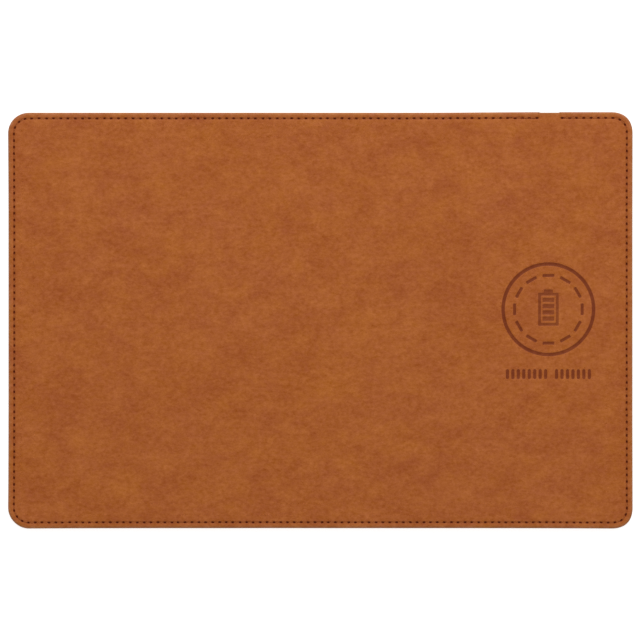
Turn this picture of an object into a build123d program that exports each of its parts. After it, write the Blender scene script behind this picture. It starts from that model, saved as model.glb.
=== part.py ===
from build123d import *
import os
from math import cos, radians, sin, tan

# A desk pad with a wireless charger sewn inside. Everything is in millimetres.
# The origin is under the middle of the pad, on the surface it lies on.
# +X is the long side, +Y points to the edge with the charging port, +Z is up.

# Pad
pad_length = 300.0
pad_width = 200.0
corner_radius = 10.2        # outer corners, seen from above
cover_thickness = 1.0       # top leather
base_thickness = 0.8        # leather under the pad
top_edge_round = 1.3        # leather rolling over the upper edge
hem_edge_round = 0.4        # leather turning under the lower edge

# Turned hem of the top leather
hem_thickness = 0.8         # thinned where it lies under the board
hem_width = 7.0             # from the outer edge inward
base_inset = 1.2            # the base leather stops this far inside the edge
core_gap = 0.1              # glue line between the board's side and the leather
hem_gap = 0.2               # play between the board's rebate and the hem

# Seam
seam_inset = 2.9            # stitch line from the outer edge
groove_width = 1.0          # the line the thread is drawn down into
groove_depth = 0.35
thread_width = 0.7
thread_height = 0.3
needle_margin = 2.1         # seam to the hard charger parts

# Where the charger sits
module_from_side = 40.0     # port and coil line, from the right-hand edge
coil_from_edge = 94.4       # coil centre, from the port edge

# Coil and shield
coil_inner_radius = 10.3
wire_diameter = 1.1
wire_gap = 0.06             # varnish and play between neighbouring turns
coil_half_turns = 19
last_arc_short = 15.0       # degrees that the last half turn stops early
lead_bend = 3.0             # radius of the tight bends in the coil's wire
lead_straight = 0.1         # where the wire leaves its first turn
long_bend = 8.0             # radius of its gentle bends
shield_margin = 3.16        # ferrite beyond the coil, where the temperature sensor sits
slot_side_play = 0.2        # slot in the ferrite that lets the inner lead pass under the turns
slot_spare = 0.05           # ferrite above the lead in its slot
tape_thickness = 0.1
tape_margin = 0.6           # tape stops short of the shield's rim
coil_clearance = 0.1        # coil to the plate above it
coil_cover_thickness = 0.5
coil_tray_floor = 0.55
coil_tray_wall = 0.8
coil_fit = 0.3              # play of the shield in its tray
pocket_fit = 0.25           # play of the trays in the board

# Port, a micro-B receptacle sunk into the circuit board
usb_width = 7.5
usb_height = 2.4
usb_depth = 5.6
usb_wall = 0.25
usb_chamfer = 0.9           # lower corners of the mouth
usb_clearance = 0.1
usb_inset = 0.2             # mouth behind the front of its nose
tongue_width = 3.7
tongue_height = 0.6
tongue_length = 3.4
insulator_length = 1.5
contact_count = 5
contact_pitch = 0.65
contact_width = 0.35
contact_height = 0.12
contact_tail = 1.2
contact_underside = 1.2     # lower face of the tongue above the shell's lower face
tab_length = 2.0            # solder tabs of the shell
tab_height = 0.25
tab_from_rear = 2.5

# Charger case
module_length = 36.0        # along X
module_depth = 24.0         # along Y
module_wall = 0.8
module_floor = 0.5
module_corner = 1.5
lid_thickness = 0.5
nose_wall = 0.7
port_recess = 0.5           # pad edge set back at the port
port_play = 0.2             # leather to nose, each side
screw_diameter = 1.6
screw_head_diameter = 2.8
screw_slot = 0.3            # width and depth of the cross in the head
screw_sink_angle = 82.0
screw_fit = 0.1             # added to the radius where a screw or its head passes
screw_low = 0.05            # head below the lid's upper face
screw_from_end = 3.4        # screw lines, from the case's outer sides
screw_hole_floor = 0.1      # left under the screw holes
boss_radius = 1.7

# Circuit board
pcb_thickness = 0.8
pcb_clearance = 0.3
pcb_cheek = 0.6             # strips of board beside the receptacle
cheek_play = 0.15
controller_place = (-6.5, 1.5)          # these are from the middle of the case
mosfet_place = (7.0, -0.4)
mosfet_pitch = 4.0
capacitor_place = (-9.0, -4.6)
capacitor_pitch_x = 4.0
capacitor_pitch_y = 2.4
inductor_place = (5.2, 6.0)
resistor_place = (9.2, 5.2)
passive_place = (-7.4, 5.4)
passive_pitch_x = 2.4
passive_pitch_y = 1.7
passive_columns = 4
passive_rows = 2
led_line = 7.0                          # either side of the middle
led_from_edge = 0.7                     # from the board's front edge
controller_size = 5.0
controller_height = 0.8
mosfet_size = 3.0
mosfet_height = 0.75
capacitor_length = 3.2
capacitor_width = 1.6
capacitor_height = 0.85
inductor_size = 3.0
inductor_height = 1.0
resistor_length = 3.2
resistor_width = 1.6
resistor_height = 0.55
passive_length = 1.6
passive_width = 0.8
passive_height = 0.5
led_height = 0.6
lead_on_board = 3.0
solder_length = 1.4
solder_width = 1.8
solder_height = 0.9
solder_round = 0.3
small_solder_width = 0.7
small_solder_height = 0.5
thermistor_length = 2.0
thermistor_width = 1.6
thermistor_height = 0.8
thermistor_wire = 0.4
thermistor_pitch = 0.9
channel_side_play = 0.7     # lead to the side of its channel
channel_roof = 0.5          # board left above the channel

# Pressed alignment mark over the coil
mark_depth = 0.2
mark_radius = 22.4
mark_line = 1.4
mark_shift_x = -0.6         # the mark is pressed a little off the coil's centre
mark_shift_y = -0.3
dash_radius = 16.2
dash_count = 12
dash_length = 5.4
dash_width = 1.2
battery_width = 9.6
battery_height = 15.6
battery_line = 1.1
battery_tip_width = 4.0
battery_tip_height = 1.6
battery_bar_count = 4
battery_bar_width = 5.4
battery_bar_height = 1.8
battery_bar_pitch = 3.0
tick_row_drop = 31.1        # row of ticks below the coil centre
tick_pitch = 2.62
tick_width = 1.3
tick_height = 4.6
tick_slots = 16             # places in the row, the middle one left blank
tick_blank = 8

# Coil and shield sizes that follow from the wire
wire_pitch = wire_diameter + wire_gap
first_arc_radius = coil_inner_radius + wire_diameter / 2
last_arc_radius = first_arc_radius + (coil_half_turns - 1) * wire_pitch / 2
coil_outer_radius = last_arc_radius + wire_diameter / 2
ferrite_radius = coil_outer_radius + shield_margin
ferrite_thickness = wire_diameter + slot_spare
ferrite_slot_width = wire_diameter + 2 * slot_side_play

# Plan positions
edge_y = pad_width / 2
module_x = pad_length / 2 - module_from_side
coil_y = edge_y - coil_from_edge
mark_x = module_x + mark_shift_x
mark_y = coil_y + mark_shift_y
module_front = edge_y - seam_inset - needle_margin
module_rear = module_front - module_depth
module_y = module_front - module_depth / 2
nose_front = edge_y - port_recess
cheek_outer_width = usb_width + 2 * usb_clearance + 2 * pcb_cheek
nose_inner_width = cheek_outer_width + 2 * cheek_play
nose_width = nose_inner_width + 2 * nose_wall
port_gap = nose_width + 2 * port_play
usb_mouth_y = nose_front - usb_inset
usb_rear_y = usb_mouth_y - usb_depth
tray_inner_radius = ferrite_radius + coil_fit
tray_outer_radius = tray_inner_radius + coil_tray_wall
pocket_radius = tray_outer_radius + pocket_fit

# Levels
coil_stack = (coil_tray_floor + 2 * tape_thickness + ferrite_thickness + wire_diameter
              + coil_clearance + coil_cover_thickness)
port_stack = module_floor + usb_height + 2 * usb_clearance + lid_thickness
core_thickness = max(coil_stack, port_stack)
core_low = base_thickness
hem_top = core_low + hem_thickness
core_top = core_low + core_thickness
pad_top = core_top + cover_thickness
tray_floor_top = core_low + coil_tray_floor
ferrite_low = tray_floor_top + tape_thickness
ferrite_top = ferrite_low + ferrite_thickness
coil_low = ferrite_top + tape_thickness
wire_level = coil_low + wire_diameter / 2
slot_level = ferrite_low + wire_diameter / 2
cover_plate_low = core_top - coil_cover_thickness
module_floor_top = core_low + module_floor
lid_low = core_top - lid_thickness
pcb_top = coil_low                     # the coil's leads run level onto the board
pcb_low = pcb_top - pcb_thickness
usb_low = module_floor_top + usb_clearance
tongue_low = usb_low + contact_underside
screw_top = core_top - screw_low
screw_hole_low = core_low + screw_hole_floor

# Where the coil's wire ends and its leads run
arc_centre_shift = wire_pitch / 4
last_arc_angle = 90.0 - last_arc_short
end_cos = cos(radians(last_arc_angle))
end_sin = sin(radians(last_arc_angle))
bend_x = module_x + (last_arc_radius + lead_bend) * end_cos
bend_y = coil_y + arc_centre_shift + (last_arc_radius + lead_bend) * end_sin
outer_lead_x = bend_x - lead_bend
inner_lead_x = module_x - lead_bend - lead_straight
coil_start_y = coil_y + arc_centre_shift - first_arc_radius
lead_reach = max(outer_lead_x - module_x, module_x - inner_lead_x) + wire_diameter / 2
channel_width = 2 * (lead_reach + channel_side_play)
board_rear = module_rear + module_wall + pcb_clearance
board_front = module_front - module_wall - pcb_clearance
cheek_front = nose_front - nose_wall - pcb_clearance
lead_end_y = board_rear + lead_on_board
thermistor_y = coil_y + (coil_outer_radius + ferrite_radius) / 2
screw_x = module_length / 2 - screw_from_end
screw_y = module_depth / 2 - screw_from_end
screw_places = [(module_x + i * screw_x, module_y + j * screw_y) for i in (-1, 1) for j in (-1, 1)]
head_drop = (screw_head_diameter - screw_diameter) / 2 / tan(radians(screw_sink_angle / 2))

os.makedirs("parts", exist_ok=True)


def pad_outline(inset):
    """The pad's plan, drawn this far inside the outer edge."""
    return RectangleRounded(pad_length - 2 * inset, pad_width - 2 * inset, corner_radius - inset)


def seam_line(width):
    """A band of this width along the stitch line, open where the port is."""
    pad_outline(seam_inset - width / 2)
    RectangleRounded(
        pad_length - 2 * seam_inset - width,
        pad_width - 2 * seam_inset - width,
        corner_radius - seam_inset - width / 2,
        mode=Mode.SUBTRACT,
    )
    with Locations((module_x, edge_y - seam_inset)):
        Rectangle(port_gap, 4 * groove_width, mode=Mode.SUBTRACT)


def case_plan(inset, nose_inset):
    """The charger case from above: a box with a narrow nose to the pad's edge."""
    nose_length = nose_front - nose_inset - module_y
    with Locations((module_x, module_y)):
        RectangleRounded(module_length - 2 * inset, module_depth - 2 * inset, module_corner - inset)
    with Locations((module_x, module_y + nose_length / 2)):
        Rectangle(nose_width - 2 * nose_inset, nose_length)


# Top leather: flat panel, rolled edge and the hem turned under the board
with BuildPart() as top_cover:
    with BuildSketch(Plane.XY.offset(core_low)):
        pad_outline(0)
    extrude(amount=pad_top - core_low)
    fillet(top_cover.edges().group_by(Axis.Z)[-1], radius=top_edge_round)
    fillet(top_cover.edges().group_by(Axis.Z)[0], radius=hem_edge_round)
    with BuildSketch(Plane.XY.offset(hem_top)):
        pad_outline(cover_thickness)
    extrude(amount=core_top - hem_top, mode=Mode.SUBTRACT)
    with BuildSketch(Plane.XY.offset(core_low)):
        pad_outline(hem_width)
    extrude(amount=hem_thickness, mode=Mode.SUBTRACT)
    # the hem is cut back around the charger case, and the edge is set back at its nose
    with BuildSketch(Plane.XY.offset(core_low)):
        case_plan(-port_play, -port_play)
    extrude(amount=core_top - core_low, mode=Mode.SUBTRACT)
    with BuildSketch(Plane.XY.offset(core_low)):
        with Locations((module_x, edge_y)):
            Rectangle(port_gap, 2 * port_recess)
    extrude(amount=pad_top - core_low, mode=Mode.SUBTRACT)
    # stitch line
    with BuildSketch(Plane.XY.offset(pad_top)):
        seam_line(groove_width)
    extrude(amount=-groove_depth, mode=Mode.SUBTRACT)
    # alignment ring, dashes and battery sign over the coil, and a row of ticks below it
    with BuildSketch(Plane.XY.offset(pad_top)):
        with Locations((mark_x, mark_y)):
            Circle(mark_radius)
            Circle(mark_radius - mark_line, mode=Mode.SUBTRACT)
            with PolarLocations(dash_radius, dash_count):
                Rectangle(dash_width, dash_length)
            Rectangle(battery_width, battery_height)
            Rectangle(battery_width - 2 * battery_line, battery_height - 2 * battery_line,
                      mode=Mode.SUBTRACT)
            with GridLocations(1, battery_bar_pitch, 1, battery_bar_count):
                Rectangle(battery_bar_width, battery_bar_height)
        with Locations((mark_x, mark_y + battery_height / 2 + battery_tip_height / 2)):
            Rectangle(battery_tip_width, battery_tip_height)
        for i in range(tick_slots):
            if i != tick_blank:
                tick_x = mark_x + (i - (tick_slots - 1) / 2) * tick_pitch
                with Locations((tick_x, mark_y - tick_row_drop)):
                    SlotOverall(tick_height, tick_width, rotation=90)
    extrude(amount=-mark_depth, mode=Mode.SUBTRACT)
top_cover.part.label = "top_cover"
export_step(top_cover.part, "parts/top_cover.step")

# Board between the leathers, with pockets for the charger
with BuildPart() as core_board:
    with BuildSketch(Plane.XY.offset(hem_top)):
        pad_outline(cover_thickness + core_gap)
    extrude(amount=core_top - hem_top)
    with BuildSketch(Plane.XY.offset(core_low)):
        pad_outline(hem_width + hem_gap)
    extrude(amount=hem_thickness)
    with BuildSketch(Plane.XY.offset(core_low)):
        case_plan(-pocket_fit, -pocket_fit)
        with Locations((module_x, coil_y)):
            Circle(pocket_radius)
    extrude(amount=core_thickness, mode=Mode.SUBTRACT)
    with BuildSketch(Plane.XY.offset(core_low)):
        with Locations((module_x, (coil_y + module_rear) / 2)):
            Rectangle(channel_width, module_rear - coil_y)
    extrude(amount=core_thickness - channel_roof, mode=Mode.SUBTRACT)
core_board.part.label = "core_board"
export_step(core_board.part, "parts/core_board.step")

# Leather under the pad
with BuildPart() as bottom_cover:
    with BuildSketch():
        pad_outline(base_inset)
    extrude(amount=base_thickness)
    with BuildSketch():
        seam_line(groove_width)
    extrude(amount=groove_depth, mode=Mode.SUBTRACT)
bottom_cover.part.label = "bottom_cover"
export_step(bottom_cover.part, "parts/bottom_cover.step")

# Needle thread on top, and bobbin thread below, each down in its line
with BuildPart() as needle_thread:
    with BuildSketch(Plane.XY.offset(pad_top - groove_depth)):
        seam_line(thread_width)
    extrude(amount=thread_height)
needle_thread.part.label = "needle_thread"
export_step(needle_thread.part, "parts/needle_thread.step")

with BuildPart() as bobbin_thread:
    with BuildSketch(Plane.XY.offset(groove_depth - thread_height)):
        seam_line(thread_width)
    extrude(amount=thread_height)
bobbin_thread.part.label = "bobbin_thread"
export_step(bobbin_thread.part, "parts/bobbin_thread.step")

# Round tray that holds the shield and the coil, open to the channel
with BuildPart() as coil_tray:
    with BuildSketch(Plane.XY.offset(core_low)):
        with Locations((module_x, coil_y)):
            Circle(tray_outer_radius)
    extrude(amount=cover_plate_low - core_low)
    with BuildSketch(Plane.XY.offset(tray_floor_top)):
        with Locations((module_x, coil_y)):
            Circle(tray_inner_radius)
        with Locations((module_x, coil_y + tray_inner_radius)):
            Rectangle(channel_width, 4 * coil_tray_wall)
    extrude(amount=cover_plate_low - tray_floor_top, mode=Mode.SUBTRACT)
coil_tray.part.label = "coil_tray"
export_step(coil_tray.part, "parts/coil_tray.step")

with BuildPart() as coil_cover:
    with BuildSketch(Plane.XY.offset(cover_plate_low)):
        with Locations((module_x, coil_y)):
            Circle(tray_outer_radius)
    extrude(amount=coil_cover_thickness)
coil_cover.part.label = "coil_cover"
export_step(coil_cover.part, "parts/coil_cover.step")

with BuildPart() as ferrite_tape:
    with BuildSketch(Plane.XY.offset(tray_floor_top)):
        with Locations((module_x, coil_y)):
            Circle(ferrite_radius - tape_margin)
    extrude(amount=tape_thickness)
ferrite_tape.part.label = "ferrite_tape"
export_step(ferrite_tape.part, "parts/ferrite_tape.step")

# Ferrite plate, slotted for the inner lead
slot_start_y = coil_start_y + lead_bend
with BuildPart() as ferrite_shield:
    with BuildSketch(Plane.XY.offset(ferrite_low)):
        with Locations((module_x, coil_y)):
            Circle(ferrite_radius)
        with Locations((inner_lead_x, (slot_start_y + coil_y + ferrite_radius) / 2)):
            Rectangle(ferrite_slot_width, coil_y + ferrite_radius - slot_start_y,
                      mode=Mode.SUBTRACT)
    extrude(amount=ferrite_thickness)
ferrite_shield.part.label = "ferrite_shield"
export_step(ferrite_shield.part, "parts/ferrite_shield.step")

with BuildPart() as coil_tape:
    with BuildSketch(Plane.XY.offset(ferrite_top)):
        with Locations((module_x, coil_y)):
            Circle(last_arc_radius)
            Circle(first_arc_radius + tape_margin, mode=Mode.SUBTRACT)
    extrude(amount=tape_thickness)
coil_tape.part.label = "coil_tape"
export_step(coil_tape.part, "parts/coil_tape.step")

# Flat spiral, made of half turns whose centres change sides
with BuildPart() as charging_coil:
    with BuildLine(Plane.XY.offset(wire_level)) as coil_path:
        for i in range(coil_half_turns):
            side = 1 if i % 2 == 0 else -1
            sweep_angle = 180.0 - last_arc_short if i == coil_half_turns - 1 else 180.0
            CenterArc(
                center=(module_x, coil_y + side * arc_centre_shift),
                radius=first_arc_radius + i * wire_pitch / 2,
                start_angle=-90.0 * side,
                arc_size=sweep_angle,
            )
    with BuildSketch(Plane(origin=coil_path.wire() @ 0, z_dir=coil_path.wire() % 0)):
        Circle(wire_diameter / 2)
    sweep(path=coil_path.wire())
charging_coil.part.label = "charging_coil"
export_step(charging_coil.part, "parts/charging_coil.step")

# Inner lead: into the middle, down into the shield's slot, out under the turns, up again
inner_lead_points = [
    (module_x, coil_start_y, wire_level),
    (inner_lead_x, coil_start_y, wire_level),
    (inner_lead_x, coil_start_y + 2 * lead_bend, wire_level),
    (inner_lead_x, coil_y + 2 * lead_bend, slot_level),
    (inner_lead_x, coil_y + ferrite_radius - coil_tray_wall, slot_level),
    (inner_lead_x, coil_y + tray_outer_radius + 3 * lead_bend, wire_level),
    (inner_lead_x, lead_end_y, wire_level),
]
inner_lead_bends = [lead_bend, long_bend, long_bend, long_bend, long_bend]
with BuildPart() as coil_lead_inner:
    with BuildLine() as inner_path:
        FilletPolyline(*inner_lead_points, radius=inner_lead_bends)
    with BuildSketch(Plane(origin=inner_path.wire() @ 0, z_dir=inner_path.wire() % 0)):
        Circle(wire_diameter / 2)
    sweep(path=inner_path.wire())
coil_lead_inner.part.label = "coil_lead_inner"
export_step(coil_lead_inner.part, "parts/coil_lead_inner.step")

# Outer lead: off the last turn, round into the channel
with BuildPart() as coil_lead_outer:
    with BuildLine(Plane.XY.offset(wire_level)) as outer_path:
        CenterArc(
            center=(bend_x, bend_y),
            radius=lead_bend,
            start_angle=last_arc_angle - 180.0,
            arc_size=-last_arc_angle,
        )
        Line((outer_lead_x, bend_y), (outer_lead_x, lead_end_y))
    with BuildSketch(Plane(origin=outer_path.wire() @ 0, z_dir=outer_path.wire() % 0)):
        Circle(wire_diameter / 2)
    sweep(path=outer_path.wire())
coil_lead_outer.part.label = "coil_lead_outer"
export_step(coil_lead_outer.part, "parts/coil_lead_outer.step")

# Temperature sensor on the shield, and its two wires to the board
with BuildPart() as thermistor:
    with BuildSketch(Plane.XY.offset(ferrite_top)):
        with Locations((module_x, thermistor_y)):
            Rectangle(thermistor_width, thermistor_length)
    extrude(amount=thermistor_height)
    fillet(thermistor.edges().filter_by(Axis.Y), radius=solder_round)
thermistor.part.label = "thermistor"
export_step(thermistor.part, "parts/thermistor.step")

thermistor_end_y = thermistor_y + thermistor_length / 2
with BuildPart() as thermistor_leads:
    with BuildSketch(Plane.XZ.offset(-lead_end_y)):
        with Locations((module_x, pcb_top + thermistor_wire / 2)):
            with GridLocations(thermistor_pitch, 1, 2, 1):
                Circle(thermistor_wire / 2)
    extrude(amount=lead_end_y - thermistor_end_y)
thermistor_leads.part.label = "thermistor_leads"
export_step(thermistor_leads.part, "parts/thermistor_leads.step")

# Charger case: a tray with four bosses, and a lid whose posts hold the board down
with BuildPart() as module_tray:
    with BuildSketch(Plane.XY.offset(core_low)):
        case_plan(0, 0)
    extrude(amount=lid_low - core_low)
    with BuildSketch(Plane.XY.offset(module_floor_top)):
        case_plan(module_wall, nose_wall)
        with Locations((module_x, nose_front)):
            Rectangle(usb_width + 2 * usb_clearance, 4 * nose_wall)
    extrude(amount=lid_low - module_floor_top, mode=Mode.SUBTRACT)
    with BuildSketch(Plane.XY.offset(pcb_low)):
        with Locations((module_x, module_rear)):
            Rectangle(channel_width, 4 * module_wall)
    extrude(amount=lid_low - pcb_low, mode=Mode.SUBTRACT)
    with BuildSketch(Plane.XY.offset(module_floor_top)):
        with Locations(*screw_places):
            Circle(boss_radius)
    extrude(amount=pcb_low - module_floor_top)
    with BuildSketch(Plane.XY.offset(screw_hole_low)):
        with Locations(*screw_places):
            Circle(screw_diameter / 2 + screw_fit / 2)
    extrude(amount=pcb_low - screw_hole_low, mode=Mode.SUBTRACT)
module_tray.part.label = "module_tray"
export_step(module_tray.part, "parts/module_tray.step")

with BuildPart() as module_lid:
    with BuildSketch(Plane.XY.offset(lid_low)):
        case_plan(0, 0)
    extrude(amount=lid_thickness)
    with BuildSketch(Plane.XY.offset(pcb_top)):
        with Locations(*screw_places):
            Circle(boss_radius)
    extrude(amount=lid_low - pcb_top)
    with Locations(*[(x, y, core_top) for x, y in screw_places]):
        CounterSinkHole(
            radius=screw_diameter / 2 + screw_fit,
            counter_sink_radius=screw_head_diameter / 2 + screw_fit,
            depth=core_top - pcb_top,
            counter_sink_angle=screw_sink_angle,
        )
module_lid.part.label = "module_lid"
export_step(module_lid.part, "parts/module_lid.step")

with BuildPart() as lid_screws:
    with BuildSketch(Plane.XY.offset(screw_hole_low + screw_hole_floor)):
        with Locations(*screw_places):
            Circle(screw_diameter / 2)
    extrude(amount=screw_top - screw_hole_low - screw_hole_floor)
    with Locations(*[(x, y, screw_top - head_drop / 2) for x, y in screw_places]):
        Cone(bottom_radius=screw_diameter / 2, top_radius=screw_head_diameter / 2, height=head_drop)
    with BuildSketch(Plane.XY.offset(screw_top)):
        with Locations(*screw_places):
            Rectangle(screw_diameter, screw_slot)
            Rectangle(screw_slot, screw_diameter)
    extrude(amount=-screw_slot, mode=Mode.SUBTRACT)
lid_screws.part.label = "lid_screws"
export_step(lid_screws.part, "parts/lid_screws.step")

# Circuit board, with two cheeks that run out beside the receptacle
with BuildPart() as pcb:
    with BuildSketch(Plane.XY.offset(pcb_low)):
        with Locations((module_x, module_y)):
            Rectangle(module_length - 2 * (module_wall + pcb_clearance), board_front - board_rear)
        with Locations((module_x, (module_y + cheek_front) / 2)):
            Rectangle(cheek_outer_width, cheek_front - module_y)
        with Locations((module_x, (usb_rear_y - usb_clearance + nose_front) / 2)):
            Rectangle(usb_width + 2 * usb_clearance, nose_front - usb_rear_y + usb_clearance,
                      mode=Mode.SUBTRACT)
        with Locations(*screw_places):
            Circle(screw_diameter / 2 + screw_fit, mode=Mode.SUBTRACT)
    extrude(amount=pcb_thickness)
pcb.part.label = "pcb"
export_step(pcb.part, "parts/pcb.step")

# The receptacle's section, wide above and with its lower corners cut off
usb_half = usb_width / 2
usb_corners = [
    (module_x - usb_half, usb_low + usb_height),
    (module_x + usb_half, usb_low + usb_height),
    (module_x + usb_half, usb_low + usb_chamfer),
    (module_x + usb_half - usb_chamfer, usb_low),
    (module_x - usb_half + usb_chamfer, usb_low),
    (module_x - usb_half, usb_low + usb_chamfer),
]

# Receptacle: folded shell, insulator with its tongue, and the contacts
with BuildPart() as usb_shell:
    with BuildSketch(Plane.XZ.offset(-usb_mouth_y)):
        with BuildLine():
            Polyline(*usb_corners, close=True)
        make_face()
        offset(amount=-usb_wall, kind=Kind.INTERSECTION, mode=Mode.SUBTRACT)
    extrude(amount=usb_depth)
    with BuildSketch(Plane.XY.offset(pcb_top)):
        tab_width = usb_clearance + pcb_cheek
        with Locations((module_x, usb_rear_y + tab_from_rear)):
            with GridLocations(usb_width + tab_width, 1, 2, 1):
                Rectangle(tab_width, tab_length)
    extrude(amount=tab_height)
usb_shell.part.label = "usb_shell"
export_step(usb_shell.part, "parts/usb_shell.step")

insulator_front_y = usb_rear_y + insulator_length
with BuildPart() as usb_insulator:
    with BuildSketch(Plane.XZ.offset(-insulator_front_y)):
        with BuildLine():
            Polyline(*usb_corners, close=True)
        make_face()
        offset(amount=-usb_wall - usb_clearance, kind=Kind.INTERSECTION, mode=Mode.REPLACE)
    extrude(amount=insulator_length)
    with BuildSketch(Plane.XZ.offset(-insulator_front_y)):
        with Locations((module_x, tongue_low + tongue_height / 2)):
            Rectangle(tongue_width, tongue_height)
    extrude(amount=-tongue_length)
usb_insulator.part.label = "usb_insulator"
export_step(usb_insulator.part, "parts/usb_insulator.step")

with BuildPart() as usb_contacts:
    with BuildSketch(Plane.XZ.offset(-insulator_front_y)):
        with Locations((module_x, tongue_low - contact_height / 2)):
            with GridLocations(contact_pitch, 1, contact_count, 1):
                Rectangle(contact_width, contact_height)
    extrude(amount=-tongue_length)
    with BuildSketch(Plane.XZ.offset(-usb_rear_y)):
        with Locations((module_x, pcb_top + contact_height / 2)):
            with GridLocations(contact_pitch, 1, contact_count, 1):
                Rectangle(contact_width, contact_height)
    extrude(amount=contact_tail)
usb_contacts.part.label = "usb_contacts"
export_step(usb_contacts.part, "parts/usb_contacts.step")


def on_board(place):
    """A place on the circuit board, given from the middle of the case."""
    return Locations((module_x + place[0], module_y + place[1]))


# Components on the circuit board
with BuildPart() as controller_ic:
    with BuildSketch(Plane.XY.offset(pcb_top)):
        with on_board(controller_place):
            Rectangle(controller_size, controller_size)
    extrude(amount=controller_height)
controller_ic.part.label = "controller_ic"
export_step(controller_ic.part, "parts/controller_ic.step")

with BuildPart() as bridge_mosfets:
    with BuildSketch(Plane.XY.offset(pcb_top)):
        with on_board(mosfet_place):
            with GridLocations(mosfet_pitch, mosfet_pitch, 2, 2):
                Rectangle(mosfet_size, mosfet_size)
    extrude(amount=mosfet_height)
bridge_mosfets.part.label = "bridge_mosfets"
export_step(bridge_mosfets.part, "parts/bridge_mosfets.step")

with BuildPart() as resonant_capacitors:
    with BuildSketch(Plane.XY.offset(pcb_top)):
        with on_board(capacitor_place):
            with GridLocations(capacitor_pitch_x, capacitor_pitch_y, 2, 2):
                Rectangle(capacitor_length, capacitor_width)
    extrude(amount=capacitor_height)
resonant_capacitors.part.label = "resonant_capacitors"
export_step(resonant_capacitors.part, "parts/resonant_capacitors.step")

with BuildPart() as filter_inductor:
    with BuildSketch(Plane.XY.offset(pcb_top)):
        with on_board(inductor_place):
            RectangleRounded(inductor_size, inductor_size, solder_round)
    extrude(amount=inductor_height)
filter_inductor.part.label = "filter_inductor"
export_step(filter_inductor.part, "parts/filter_inductor.step")

with BuildPart() as sense_resistor:
    with BuildSketch(Plane.XY.offset(pcb_top)):
        with on_board(resistor_place):
            Rectangle(resistor_length, resistor_width)
    extrude(amount=resistor_height)
sense_resistor.part.label = "sense_resistor"
export_step(sense_resistor.part, "parts/sense_resistor.step")

with BuildPart() as smd_passives:
    with BuildSketch(Plane.XY.offset(pcb_top)):
        with on_board(passive_place):
            with GridLocations(passive_pitch_x, passive_pitch_y, passive_columns, passive_rows):
                Rectangle(passive_length, passive_width)
    extrude(amount=passive_height)
smd_passives.part.label = "smd_passives"
export_step(smd_passives.part, "parts/smd_passives.step")

with BuildPart() as status_leds:
    with BuildSketch(Plane.XY.offset(pcb_top)):
        with Locations((module_x, board_front - led_from_edge)):
            with GridLocations(2 * led_line, 1, 2, 1):
                Rectangle(passive_length, passive_width)
    extrude(amount=led_height)
status_leds.part.label = "status_leds"
export_step(status_leds.part, "parts/status_leds.step")

# Solder where the coil's leads and the sensor's wires end on the board
with BuildPart() as solder_joints:
    with BuildSketch(Plane.XY.offset(pcb_top)):
        for lead_x in (inner_lead_x, outer_lead_x):
            with Locations((lead_x, lead_end_y + solder_length / 2)):
                Rectangle(solder_width, solder_length)
    extrude(amount=solder_height)
    with BuildSketch(Plane.XY.offset(pcb_top)):
        with Locations((module_x, lead_end_y + solder_length / 2)):
            with GridLocations(thermistor_pitch, 1, 2, 1):
                Rectangle(small_solder_width, solder_length)
    extrude(amount=small_solder_height)
    fillet(solder_joints.edges().filter_by(Axis.Z), radius=solder_round)
solder_joints.part.label = "solder_joints"
export_step(solder_joints.part, "parts/solder_joints.step")
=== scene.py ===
import math
import random

import bmesh
import bpy
import numpy as np
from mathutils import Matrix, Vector, noise


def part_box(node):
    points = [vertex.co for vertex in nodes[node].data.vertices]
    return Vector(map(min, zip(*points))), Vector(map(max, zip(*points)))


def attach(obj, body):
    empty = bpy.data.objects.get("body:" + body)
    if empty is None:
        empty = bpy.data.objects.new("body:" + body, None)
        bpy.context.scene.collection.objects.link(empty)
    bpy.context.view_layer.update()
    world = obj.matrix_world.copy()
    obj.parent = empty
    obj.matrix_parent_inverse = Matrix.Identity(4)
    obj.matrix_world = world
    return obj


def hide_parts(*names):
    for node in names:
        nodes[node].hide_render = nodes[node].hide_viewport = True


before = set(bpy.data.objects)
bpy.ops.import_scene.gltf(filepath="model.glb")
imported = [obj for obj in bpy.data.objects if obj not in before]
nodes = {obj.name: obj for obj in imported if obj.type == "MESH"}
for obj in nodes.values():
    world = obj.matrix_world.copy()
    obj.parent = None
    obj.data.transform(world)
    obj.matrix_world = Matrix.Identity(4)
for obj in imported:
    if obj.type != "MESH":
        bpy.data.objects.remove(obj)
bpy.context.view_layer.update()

scene = bpy.context.scene
mm = 0.001          # lengths below are in millimetres, and are scaled when a mesh is made


def boxOf(node):
    low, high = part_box(node)
    return np.array(low) / mm, np.array(high) / mm


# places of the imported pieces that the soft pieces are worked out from
padLow, padHigh = boxOf("top_cover")
baseLow, baseHigh = boxOf("bottom_cover")
_, threadHigh = boxOf("needle_thread")
coverLow, coverHigh = boxOf("coil_cover")
shellLow, shellHigh = boxOf("usb_shell")
coilX, coilY = (coverLow[:2] + coverHigh[:2]) / 2
portX = (shellLow[0] + shellHigh[0]) / 2
padTop = padHigh[2]


# ---- camera, floor and light

camera = {
    "lens": 200,
    "sensor": 36,
    "frameWidth": 306.95,       # how wide a stretch the picture shows at the pad's face
    "lookAtX": -0.13,
    "lookAtY": 0.19,
    "clipStart": 50,
    "clipEnd": 20000,
}


def placeCamera():
    height = camera["frameWidth"] * camera["lens"] / camera["sensor"]
    data = bpy.data.cameras.new("overheadCamera")
    data.lens = camera["lens"]
    data.sensor_width = camera["sensor"]
    data.clip_start = camera["clipStart"] * mm
    data.clip_end = camera["clipEnd"] * mm
    eye = bpy.data.objects.new("overheadCamera", data)
    eye.location = Vector((camera["lookAtX"], camera["lookAtY"], padTop + height)) * mm
    scene.collection.objects.link(eye)
    scene.camera = eye


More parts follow.
